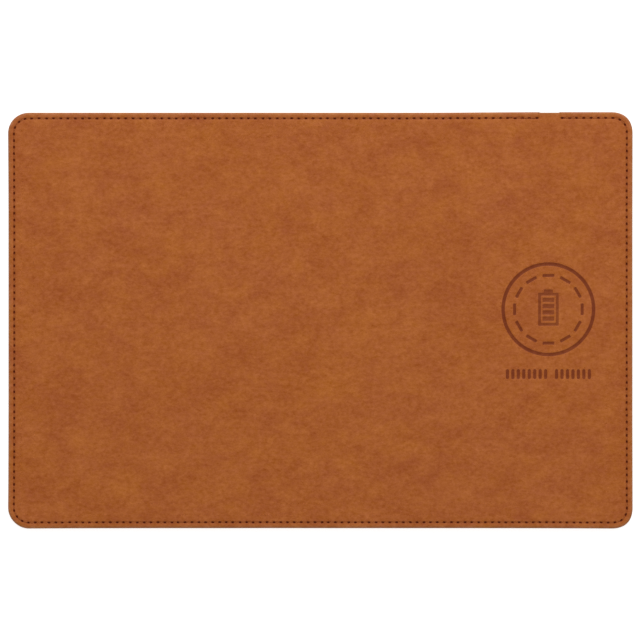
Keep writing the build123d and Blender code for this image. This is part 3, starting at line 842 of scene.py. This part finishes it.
def addNode(tree, kind, settings=None, inputs=None):
    node = tree.nodes.new(kind)
    for key, value in (settings or {}).items():
        setattr(node, key, value)
    for key, value in (inputs or {}).items():
        if isinstance(value, bpy.types.NodeSocket):
            tree.links.new(value, node.inputs[key])
        else:
            node.inputs[key].default_value = value
    return node


def calculate(tree, operation, first, second=0.0, clamp=False):
    settings = {"operation": operation, "use_clamp": clamp}
    return addNode(tree, "ShaderNodeMath", settings, {0: first, 1: second}).outputs[0]


def ramp(tree, value, low, high, start=0.0, end=1.0):
    inputs = {"Value": value, "From Min": low, "From Max": high, "To Min": start, "To Max": end}
    return addNode(tree, "ShaderNodeMapRange", {"interpolation_type": "SMOOTHSTEP"}, inputs).outputs["Result"]


def blendColours(tree, share, first, second, way="MIX"):
    settings = {"data_type": "RGBA", "blend_type": way}
    return addNode(tree, "ShaderNodeMix", settings, {0: share, 6: first, 7: second}).outputs[2]


def multiplied(tree, share, tint, shade):
    return blendColours(tree, share, tint, blendColours(tree, 1.0, tint, shade, "MULTIPLY"))


def vectorMath(tree, operation, first, second, third=None):
    inputs = {0: first, "Scale" if operation == "SCALE" else 1: second}
    if third is not None:
        inputs[2] = third
    return addNode(tree, "ShaderNodeVectorMath", {"operation": operation}, inputs).outputs[0]


def placeInMillimetres(tree, stretch=(1, 1, 1), turn=0.0):
    spot = addNode(tree, "ShaderNodeTexCoord").outputs["Object"]
    spot = vectorMath(tree, "SCALE", spot, 1 / mm)
    inputs = {"Vector": spot, "Rotation": (0, 0, math.radians(turn)), "Scale": stretch}
    return addNode(tree, "ShaderNodeMapping", None, inputs).outputs["Vector"]


def noiseOf(tree, spot, scale, detail, roughness, distortion=0.0):
    inputs = {"Vector": spot, "Scale": scale, "Detail": detail, "Roughness": roughness,
              "Distortion": distortion}
    return addNode(tree, "ShaderNodeTexNoise", None, inputs).outputs["Fac"]


paint = "NodeSocketColor"
number = "NodeSocketFloat"


def startGroup(name, inputs, outputs):
    tree = bpy.data.node_groups.new(name, "ShaderNodeTree")
    for label, kind, value in inputs:
        socket = tree.interface.new_socket(label, in_out="INPUT", socket_type=kind)
        socket.default_value = value
    for label, kind in outputs:
        tree.interface.new_socket(label, in_out="OUTPUT", socket_type=kind)
    return tree, addNode(tree, "NodeGroupInput").outputs, addNode(tree, "NodeGroupOutput").inputs


grainShape = {
    "stretch": (0.82, 1.12, 1),
    "patchNoise": (8, 0.8, 0.25),       # detail, roughness, distortion
    "driftTurn": 71,
    "driftNoise": (4, 0.75),
    "grainNoise": (5, 0.85),
    "scuffStretch": (0.32, 1.9, 1),
    "scuffTurn": 38,
    "scuffNoise": (0.11, 6, 0.72, 0.9),
    "scuffRange": (0.56, 0.74),
    "warpScale": 0.9,
    "pebbleScale": 1.25,
    "pebbleShare": 0.55,
    "poreNoise": (3.2, 3, 0.6),
}


def makeLeatherGroup():
    g = grainShape
    inputs = [("Light", paint, (0.4, 0.13, 0.03, 1)), ("Dark", paint, (0.3, 0.08, 0.02, 1)),
              ("Patch Size", number, 14.0), ("Patch Spread", number, 0.14),
              ("Grain Size", number, 1.6), ("Grain Strength", number, 0.1),
              ("Grain Haze", paint, (0, 0, 0, 1)), ("Streaks", number, 0.06),
              ("Drift Size", number, 20.0), ("Drift", "NodeSocketVector", (0, 0, 0))]
    outputs = [("Color", paint), ("Cloud", number), ("Height", number)]
    tree, given, result = startGroup("leatherGrain", inputs, outputs)
    spot = placeInMillimetres(tree, g["stretch"])
    patch = noiseOf(tree, spot, calculate(tree, "DIVIDE", 1.0, given["Patch Size"]), *g["patchNoise"])
    low = calculate(tree, "SUBTRACT", 0.5, given["Patch Spread"])
    high = calculate(tree, "ADD", 0.5, given["Patch Spread"])
    spread = {"Value": patch, "From Min": low, "From Max": high}
    cloud = addNode(tree, "ShaderNodeMapRange", None, spread).outputs[0]
    tint = blendColours(tree, cloud, given["Dark"], given["Light"])
    # the dye leans to golden in some places and to red in others
    turned = placeInMillimetres(tree, turn=g["driftTurn"])
    lean = noiseOf(tree, turned, calculate(tree, "DIVIDE", 1.0, given["Drift Size"]), *g["driftNoise"])
    lean = vectorMath(tree, "SCALE", given["Drift"], calculate(tree, "SUBTRACT", lean, 0.5))
    tint = vectorMath(tree, "MULTIPLY_ADD", tint, lean, tint)
    grain = noiseOf(tree, spot, calculate(tree, "DIVIDE", 1.0, given["Grain Size"]), *g["grainNoise"])
    grainShift = calculate(tree, "MULTIPLY", calculate(tree, "SUBTRACT", grain, 0.5), given["Grain Strength"])
    # long faint scuffs that run diagonally
    scuffSpot = placeInMillimetres(tree, g["scuffStretch"], g["scuffTurn"])
    scuff = ramp(tree, noiseOf(tree, scuffSpot, *g["scuffNoise"]), *g["scuffRange"])
    scuffShift = calculate(tree, "MULTIPLY", scuff, given["Streaks"])
    factor = calculate(tree, "ADD", grainShift, scuffShift)
    # the grain catches some grey light of its own, so it shows in every channel
    hazed = vectorMath(tree, "ADD", tint, given["Grain Haze"])
    shift = vectorMath(tree, "SCALE", hazed, factor)
    tree.links.new(vectorMath(tree, "ADD", tint, shift), result["Color"])
    tree.links.new(cloud, result["Cloud"])
    # pebbled skin: cells a little under a millimetre wide, broken up by noise
    fine = placeInMillimetres(tree)
    warp = addNode(tree, "ShaderNodeTexNoise", None, {"Vector": fine, "Scale": g["warpScale"], "Detail": 2.0})
    bent = vectorMath(tree, "ADD", fine, warp.outputs["Color"])
    cells = addNode(tree, "ShaderNodeTexVoronoi", {"feature": "SMOOTH_F1"},
                    {"Vector": bent, "Scale": g["pebbleScale"]})
    pebble = calculate(tree, "SUBTRACT", 1.0, cells.outputs["Distance"])
    pores = noiseOf(tree, fine, *g["poreNoise"])
    pebbled = calculate(tree, "MULTIPLY", pebble, g["pebbleShare"])
    porous = calculate(tree, "MULTIPLY", pores, 1 - g["pebbleShare"])
    tree.links.new(calculate(tree, "ADD", pebbled, porous), result["Height"])
    return tree


fluffNoise = (4.5, 3, 0.6)      # scale, detail, roughness


# painted shade and highlight along twisted strands: a light and a dark copy of one colour follow the twist
def makeTwistGroup():
    inputs = [("Light", paint, (0.3, 0.1, 0.03, 1)), ("Dark", paint, (0.1, 0.03, 0.01, 1)),
              ("Along", number, 0.0), ("Across", number, 0.0),
              ("Pitch", number, 0.4), ("Slant", number, 1.0), ("Fuzz", number, 0.3)]
    outputs = [("Color", paint), ("Height", number)]
    tree, given, result = startGroup("shadedStrandTwist", inputs, outputs)
    turns = calculate(tree, "DIVIDE", given["Along"], given["Pitch"])
    turns = calculate(tree, "ADD", turns, calculate(tree, "MULTIPLY", given["Across"], given["Slant"]))
    fluff = calculate(tree, "SUBTRACT", noiseOf(tree, placeInMillimetres(tree), *fluffNoise), 0.5)
    turns = calculate(tree, "ADD", turns, calculate(tree, "MULTIPLY", fluff, given["Fuzz"]))
    # painted shade and highlight: each strand's crest is tinted light and its furrow dark, with the same wave
    # that raises its bump
    wave = calculate(tree, "SINE", calculate(tree, "MULTIPLY", turns, 2 * math.pi))
    strand = calculate(tree, "ADD", calculate(tree, "MULTIPLY", wave, 0.5), 0.5)
    tree.links.new(blendColours(tree, strand, given["Dark"], given["Light"]), result["Color"])
    tree.links.new(calculate(tree, "ADD", strand, fluff), result["Height"])
    return tree


speckleShape = {
    "dotNoise": (3, 0.65, 0.4),
    "dotRange": (0.52, 0.68),
    "cloudNoise": (0.12, 5, 0.6),
}


def makeSpeckleGroup():
    inputs = [("Base", paint, (0.2, 0.2, 0.2, 1)), ("Fleck", paint, (0.4, 0.4, 0.4, 1)),
              ("Fleck Size", number, 0.5), ("Fleck Amount", number, 0.3),
              ("Mottle", number, 0.08), ("Stretch", number, 1.0)]
    outputs = [("Color", paint), ("Spread", number), ("Height", number)]
    tree, given, result = startGroup("fineSpeckle", inputs, outputs)
    spot = placeInMillimetres(tree)
    parts = addNode(tree, "ShaderNodeSeparateXYZ", None, {0: spot}).outputs
    shortX = calculate(tree, "DIVIDE", parts[0], given["Stretch"])
    stretched = addNode(tree, "ShaderNodeCombineXYZ", None, {0: shortX, 1: parts[1], 2: parts[2]}).outputs[0]
    size = calculate(tree, "DIVIDE", 1.0, given["Fleck Size"])
    dots = noiseOf(tree, stretched, size, *speckleShape["dotNoise"])
    fleck = calculate(tree, "MULTIPLY", ramp(tree, dots, *speckleShape["dotRange"]), given["Fleck Amount"])
    cloud = calculate(tree, "SUBTRACT", noiseOf(tree, spot, *speckleShape["cloudNoise"]), 0.5)
    tint = blendColours(tree, fleck, given["Base"], given["Fleck"])
    factor = calculate(tree, "ADD", 1.0, calculate(tree, "MULTIPLY", cloud, given["Mottle"]))
    tree.links.new(vectorMath(tree, "SCALE", tint, factor), result["Color"])
    tree.links.new(calculate(tree, "ADD", cloud, dots), result["Spread"])
    tree.links.new(dots, result["Height"])
    return tree


leatherGrain = makeLeatherGroup()
shadedStrandTwist = makeTwistGroup()
fineSpeckle = makeSpeckleGroup()


def startFinish(name):
    finish = bpy.data.materials.new(name)
    finish.use_nodes = True
    tree = finish.node_tree
    return finish, tree, tree.nodes["Principled BSDF"]


def useGroup(tree, group, inputs):
    return addNode(tree, "ShaderNodeGroup", {"node_tree": group}, inputs).outputs


def attributeOf(tree, name):
    return addNode(tree, "ShaderNodeAttribute", {"attribute_name": name}).outputs["Fac"]


def setSurface(tree, shader, tint, roughness, height, relief, **fixed):
    tree.links.new(tint, shader.inputs["Base Color"])
    if isinstance(roughness, bpy.types.NodeSocket):
        tree.links.new(roughness, shader.inputs["Roughness"])
    else:
        shader.inputs["Roughness"].default_value = roughness
    bump = addNode(tree, "ShaderNodeBump", None, {"Height": height, "Distance": relief * mm, "Strength": 1.0})
    tree.links.new(bump.outputs["Normal"], shader.inputs["Normal"])
    for label, value in fixed.items():
        shader.inputs[label.replace("_", " ")].default_value = value


# ---- finishes of the soft pieces

holeShadeRamp = (-0.30, 0.35)        # where the painted shade in a needle hole starts and is full


def useLeather(tree, look):
    return useGroup(tree, leatherGrain, {
        "Light": colour(*look["light"]), "Dark": colour(*look["dark"]),
        "Patch Size": look["patchSize"], "Patch Spread": look["patchSpread"],
        "Grain Size": look["grainSize"], "Grain Strength": look["grainStrength"],
        "Grain Haze": look["grainHaze"], "Streaks": look["streaks"],
        "Drift Size": look["driftSize"], "Drift": look["drift"]})


def useTwist(tree, look, along, across):
    return useGroup(tree, shadedStrandTwist, {
        "Light": colour(*look["light"]), "Dark": colour(*look["dark"]), "Along": along, "Across": across,
        "Pitch": look["pitch"], "Slant": look["slant"], "Fuzz": look["fuzz"]})


tanLook = {
    "light": (155, 87, 36),
    "dark": (138, 69, 28),
    "patchSize": 11.0,
    "patchSpread": 0.15,
    "grainSize": 1.9,
    "grainStrength": 0.68,
    "grainHaze": (0.08, 0.08, 0.08, 1),
    "streaks": 0.08,
    "driftSize": 21.0,
    "drift": (0.0, 0.05, -1.0),
    "pressedTint": (0.49, 0.34, 0.33, 1),
    # painted shade: the inside of each needle hole is tinted dark
    "holeShadeTint": (0.32, 0.13, 0.03, 1),
    "seamTint": (0.94, 0.89, 0.86, 1),
    "edgeReflectionTint": (0.99, 1.34, 2.2, 1),
    "edgeReflectionFade": (2.0, 0.1),     # painted reflection: the rolled edge is tinted greyer over this width, for the white room it reflects
    "edgeReflectionShare": 0.85,
    "cutColour": (138, 98, 66),
    "pressedRamp": (-0.26, 0.02),
    "seamRamp": (0.75, 0.25),
    "roughness": 0.56,
    "cloudRoughness": 0.07,
    "pressedPolish": 0.10,
    "pressedRelief": 0.35,
    "relief": 0.08,
}


def makeTanLeather():
    look = tanLook
    finish, tree, shader = startFinish("tanLeather")
    skin = useLeather(tree, look)
    pressed = ramp(tree, attributeOf(tree, "pressed"), *look["pressedRamp"])
    burnt = calculate(tree, "MULTIPLY", pressed, attributeOf(tree, "burnish"))
    # painted shade: the needle holes are tinted dark, for the shade that falls inside them
    hole = ramp(tree, attributeOf(tree, "needleHole"), *holeShadeRamp)
    fromEdge = attributeOf(tree, "fromEdge")
    fromSeam = calculate(tree, "ABSOLUTE", calculate(tree, "SUBTRACT", fromEdge, seamInset))
    nearSeam = ramp(tree, fromSeam, *look["seamRamp"])
    nearSeam = calculate(tree, "MULTIPLY", nearSeam, attributeOf(tree, "stitched"))
    # painted reflection: the rolled edge and the hem are tinted greyer, for the white room the edge reflects
    edge = calculate(tree, "MULTIPLY", ramp(tree, fromEdge, *look["edgeReflectionFade"]), look["edgeReflectionShare"])
    tint = skin["Color"]
    shares = {"edgeReflectionTint": edge, "seamTint": nearSeam, "pressedTint": burnt, "holeShadeTint": hole}
    for shade, share in shares.items():
        tint = multiplied(tree, share, tint, look[shade])
    tint = blendColours(tree, attributeOf(tree, "cutEdge"), tint, colour(*look["cutColour"]))
    rougher = calculate(tree, "MULTIPLY", skin["Cloud"], look["cloudRoughness"])
    smoother = calculate(tree, "MULTIPLY", pressed, look["pressedPolish"])
    roughness = calculate(tree, "ADD", look["roughness"], rougher)
    roughness = calculate(tree, "SUBTRACT", roughness, smoother, clamp=True)
    flatter = ramp(tree, pressed, 0.0, 1.0, 1.0, look["pressedRelief"])
    height = calculate(tree, "MULTIPLY", skin["Height"], flatter)
    setSurface(tree, shader, tint, roughness, height, look["relief"], Specular_IOR_Level=0.12)
    return finish


baseLook = {
    "light": (96, 62, 40),
    "dark": (70, 43, 27),
    "patchSize": 9.0,
    "patchSpread": 0.2,
    "grainSize": 0.7,
    "grainStrength": 0.35,
    "grainHaze": (0.01, 0.01, 0.01, 1),
    "streaks": 0.15,
    "driftSize": 20.0,
    "drift": (0.0, 0.0, 0.0),
    "fleck": (120, 82, 56),
    "fleckSize": 0.35,
    "fleckAmount": 0.35,
    "mottle": 0.25,
    "napStretch": 2.5,
    # painted shade: the inside of each needle hole is tinted dark
    "holeShadeTint": (0.3, 0.25, 0.22, 1),
    "roughness": 0.86,
    "relief": 0.06,
}


def makeBaseFinish():
    look = baseLook
    finish, tree, shader = startFinish("brownSuede")
    nap = useGroup(tree, fineSpeckle, {
        "Base": useLeather(tree, look)["Color"], "Fleck": colour(*look["fleck"]),
        "Fleck Size": look["fleckSize"], "Fleck Amount": look["fleckAmount"],
        "Mottle": look["mottle"], "Stretch": look["napStretch"]})
    # painted shade: the needle holes in the suede are tinted dark, for the shade inside them
    hole = ramp(tree, attributeOf(tree, "needleHole"), *holeShadeRamp)
    tint = multiplied(tree, hole, nap["Color"], look["holeShadeTint"])
    setSurface(tree, shader, tint, look["roughness"], nap["Height"], look["relief"],
               Specular_IOR_Level=0.15, Sheen_Weight=0.08, Sheen_Roughness=0.5)
    return finish


threadLook = {
    # the strands' painted highlight and painted shade are blended between light and dark
    "light": (160, 90, 44),
    "dark": (124, 61, 27),
    # painted shade where the thread sinks into a needle hole
    "sunkShadeTint": (0.36, 0.15, 0.04, 1),
    # painted shade on the back-tacked stitches
    "tackShadeTint": (0.55, 0.34, 0.28, 1),
    "sunkShadeRamp": (0.0, 0.75),
    "grooveShade": 0.7,
    "pitch": 0.32,
    "slant": 2.0,
    "fuzz": 0.5,
    "roughness": 0.62,
    "relief": 0.02,
}


def makeThreadFinish():
    look = threadLook
    finish, tree, shader = startFinish("brownWaxedThread")
    twist = useTwist(tree, look, attributeOf(tree, "alongThread"), attributeOf(tree, "aroundThread"))
    # painted shade: the thread is tinted dark where it sinks into a needle hole, for the shade down there
    sunk = ramp(tree, attributeOf(tree, "sunk"), *look["sunkShadeRamp"])
    shade = ramp(tree, attributeOf(tree, "groove"), 0.0, 1.0, 1.0, look["grooveShade"])
    # painted shade: back-tacked stitches are tinted darker, for the shade of their crowded needle holes
    tint = multiplied(tree, attributeOf(tree, "tacked"), twist["Color"], look["tackShadeTint"])
    tint = vectorMath(tree, "SCALE", tint, shade)
    tint = multiplied(tree, sunk, tint, look["sunkShadeTint"])
    setSurface(tree, shader, tint, look["roughness"], twist["Height"], look["relief"],
               Specular_IOR_Level=0.08)
    return finish


leatherTop.data.materials.append(makeTanLeather())
leatherBase.data.materials.append(makeBaseFinish())
threadFinish = makeThreadFinish()
for piece in (needleStitches, bobbinStitches):
    piece.data.materials.append(threadFinish)


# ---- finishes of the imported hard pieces, by material slot

hardLooks = {
    "fibreboard": {"base": (150, 122, 92), "fleck": (98, 70, 44), "size": 0.5, "amount": 0.7, "mottle": 0.3,
                   "stretch": 4.0, "roughness": 0.85, "spread": 0.08, "relief": 0.05},
    "black_plastic": {"base": (26, 26, 28), "fleck": (44, 44, 47), "size": 0.16, "amount": 0.5, "mottle": 0.1,
                      "stretch": 1.0, "roughness": 0.5, "spread": 0.16, "relief": 0.02},
    "amber_tape": {"base": (196, 118, 30), "fleck": (222, 150, 54), "size": 2.2, "amount": 0.4, "mottle": 0.2,
                   "stretch": 5.0, "roughness": 0.26, "spread": 0.12, "relief": 0.006, "coat": 0.5},
    "ferrite": {"base": (42, 42, 45), "fleck": (78, 78, 82), "size": 0.09, "amount": 0.6, "mottle": 0.2,
                "stretch": 1.0, "roughness": 0.7, "spread": 0.12, "relief": 0.015},
    "chip_epoxy": {"base": (24, 24, 25), "fleck": (52, 52, 54), "size": 0.08, "amount": 0.45, "mottle": 0.15,
                   "stretch": 1.0, "roughness": 0.62, "spread": 0.12, "relief": 0.008},
    "chip_ceramic": {"base": (164, 134, 98), "fleck": (190, 164, 126), "size": 0.2, "amount": 0.4,
                     "mottle": 0.15, "stretch": 1.0, "roughness": 0.4, "spread": 0.1, "relief": 0.006},
    "board_green": {"base": (14, 74, 38), "fleck": (30, 104, 58), "size": 0.7, "amount": 0.5, "mottle": 0.2,
                    "stretch": 6.0, "roughness": 0.3, "spread": 0.1, "relief": 0.012, "coat": 0.4},
    "tinned_steel": {"base": (200, 200, 197), "fleck": (168, 168, 166), "size": 0.25, "amount": 0.6,
                     "mottle": 0.15, "stretch": 7.0, "roughness": 0.24, "spread": 0.2,
                     "relief": 0.006, "metal": 1.0},
    "gold_plate": {"base": (222, 184, 98), "fleck": (196, 154, 70), "size": 0.2, "amount": 0.4, "mottle": 0.1,
                   "stretch": 3.0, "roughness": 0.2, "spread": 0.12, "relief": 0.004, "metal": 1.0},
    "led_lens": {"base": (232, 231, 214), "fleck": (244, 222, 120), "size": 0.5, "amount": 0.5, "mottle": 0.1,
                 "stretch": 1.0, "roughness": 0.2, "spread": 0.1, "relief": 0.004, "coat": 0.6},
    "solder": {"base": (184, 186, 190), "fleck": (140, 142, 146), "size": 0.3, "amount": 0.5, "mottle": 0.25,
               "stretch": 1.0, "roughness": 0.3, "spread": 0.25, "relief": 0.02, "metal": 1.0},
}
litzLook = {
    # the copper strands' painted highlight and painted shade are blended between light and dark
    "light": (214, 132, 84),
    "dark": (128, 66, 36),
    "pitch": 0.9,
    "slant": 1.4,
    "fuzz": 0.5,
    "roughness": 0.34,
    "relief": 0.05,
}


def makeHardFinish(name, look):
    finish, tree, shader = startFinish(name)
    speckle = useGroup(tree, fineSpeckle, {
        "Base": colour(*look["base"]), "Fleck": colour(*look["fleck"]), "Fleck Size": look["size"],
        "Fleck Amount": look["amount"], "Mottle": look["mottle"], "Stretch": look["stretch"]})
    centred = calculate(tree, "SUBTRACT", speckle["Spread"], 0.5)
    uneven = calculate(tree, "MULTIPLY", centred, look["spread"])
    roughness = calculate(tree, "ADD", look["roughness"], uneven, clamp=True)
    setSurface(tree, shader, speckle["Color"], roughness, speckle["Height"], look["relief"],
               Metallic=look.get("metal", 0.0), Coat_Weight=look.get("coat", 0.0))
    return finish


def makeLitzFinish():
    look = litzLook
    finish, tree, shader = startFinish("litzCopper")
    spot = placeInMillimetres(tree)
    spot = vectorMath(tree, "SUBTRACT", spot, (coilX, coilY, 0))
    parts = addNode(tree, "ShaderNodeSeparateXYZ", None, {0: spot}).outputs
    squares = [calculate(tree, "MULTIPLY", part, part) for part in (parts[0], parts[1])]
    reach = calculate(tree, "SQRT", calculate(tree, "ADD", *squares))
    angle = calculate(tree, "ARCTAN2", parts[1], parts[0])
    twist = useTwist(tree, look, calculate(tree, "MULTIPLY", angle, reach), reach)
    setSurface(tree, shader, twist["Color"], look["roughness"], twist["Height"], look["relief"], Metallic=1.0)
    return finish


finishes = {}
for slotName, look in hardLooks.items():
    finishes[slotName] = makeHardFinish(slotName.title().replace("_", ""), look)
finishes["litz_copper"] = makeLitzFinish()
finishes["tan_leather"] = leatherTop.data.materials[0]
finishes["base_leather"] = leatherBase.data.materials[0]
finishes["brown_thread"] = threadFinish
for name, node in nodes.items():
    for i, old in enumerate(node.data.materials):
        node.data.materials[i] = finishes[old.name.split(".")[0]]
print("finishes", len(finishes), "on", len(nodes), "packed pieces and 4 soft ones")
